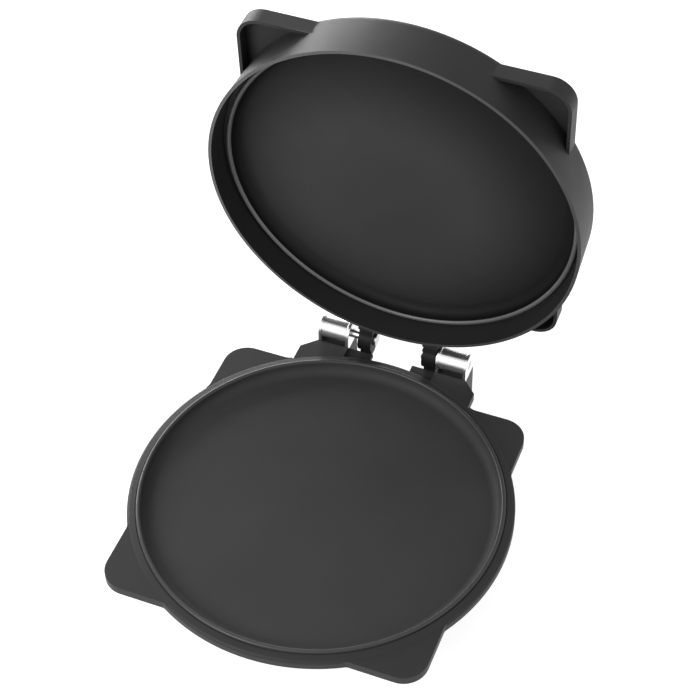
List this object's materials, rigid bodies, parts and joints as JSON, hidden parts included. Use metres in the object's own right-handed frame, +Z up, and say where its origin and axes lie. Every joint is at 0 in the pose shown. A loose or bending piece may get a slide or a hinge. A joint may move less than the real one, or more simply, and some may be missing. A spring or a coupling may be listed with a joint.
{
  "type": "electric pizza maker",
  "caption": "Round clamshell pizza cooker: charcoal housings with four corner ears each, two black coated plates and a deep lid held open on a pair of polished rear hinges.",
  "frame": {"origin": "on the resting plane, under the middle of the outline with the lid open", "axes": "+Z up, +Y back towards the hinge, +X to the right seen from the front"},
  "size_m": [0.34, 0.4017, 0.411],
  "materials": {
    "housing_plastic": "satin",
    "plate_coating": "satin",
    "arm_black": "satin",
    "polished_steel": "polished",
    "zinc_steel": "satin",
    "sheet_steel": "satin",
    "element_sheath": "matte",
    "rubber": "matte",
    "ceramic": "matte",
    "tinned_wire": "satin",
    "bush_nylon": "satin",
    "lens_red": "gloss",
    "lens_green": "gloss",
    "lamp_glass": "gloss"
  },
  "bodies": {
    "base": {"base_housing": "housing_plastic", "base_pan": "housing_plastic", "rubber_feet": "rubber", "lower_plate": "plate_coating", "lower_element": "element_sheath", "lower_element_clips": "sheet_steel", "lower_reflector": "sheet_steel", "thermostat": "ceramic", "thermal_fuse": "ceramic", "terminal_block": "ceramic", "base_leads": "tinned_wire", "cord_gland": "rubber", "base_screws": "zinc_steel", "hinge_sleeve_left": "polished_steel", "hinge_sleeve_right": "polished_steel", "hinge_pin_left": "zinc_steel", "hinge_pin_right": "zinc_steel"},
    "lid": {"lid_housing": "housing_plastic", "lid_cover": "housing_plastic", "upper_plate": "plate_coating", "upper_element": "element_sheath", "upper_element_clips": "sheet_steel", "upper_reflector": "sheet_steel", "upper_thermostat": "ceramic", "lid_screws": "zinc_steel", "lid_arm_left": "arm_black", "lid_arm_right": "arm_black", "hinge_bushes": "bush_nylon", "arm_screws": "zinc_steel", "power_lens": "lens_red", "ready_lens": "lens_green", "indicator_lamps": "lamp_glass"}
  },
  "joints": [
    {"name": "lid_hinge", "type": "hinge", "parent": "base", "child": "lid", "pos_m": [0, 0.15564, 0.055], "axis": [1, 0, 0], "range_deg": [0, 88]}
  ]
}
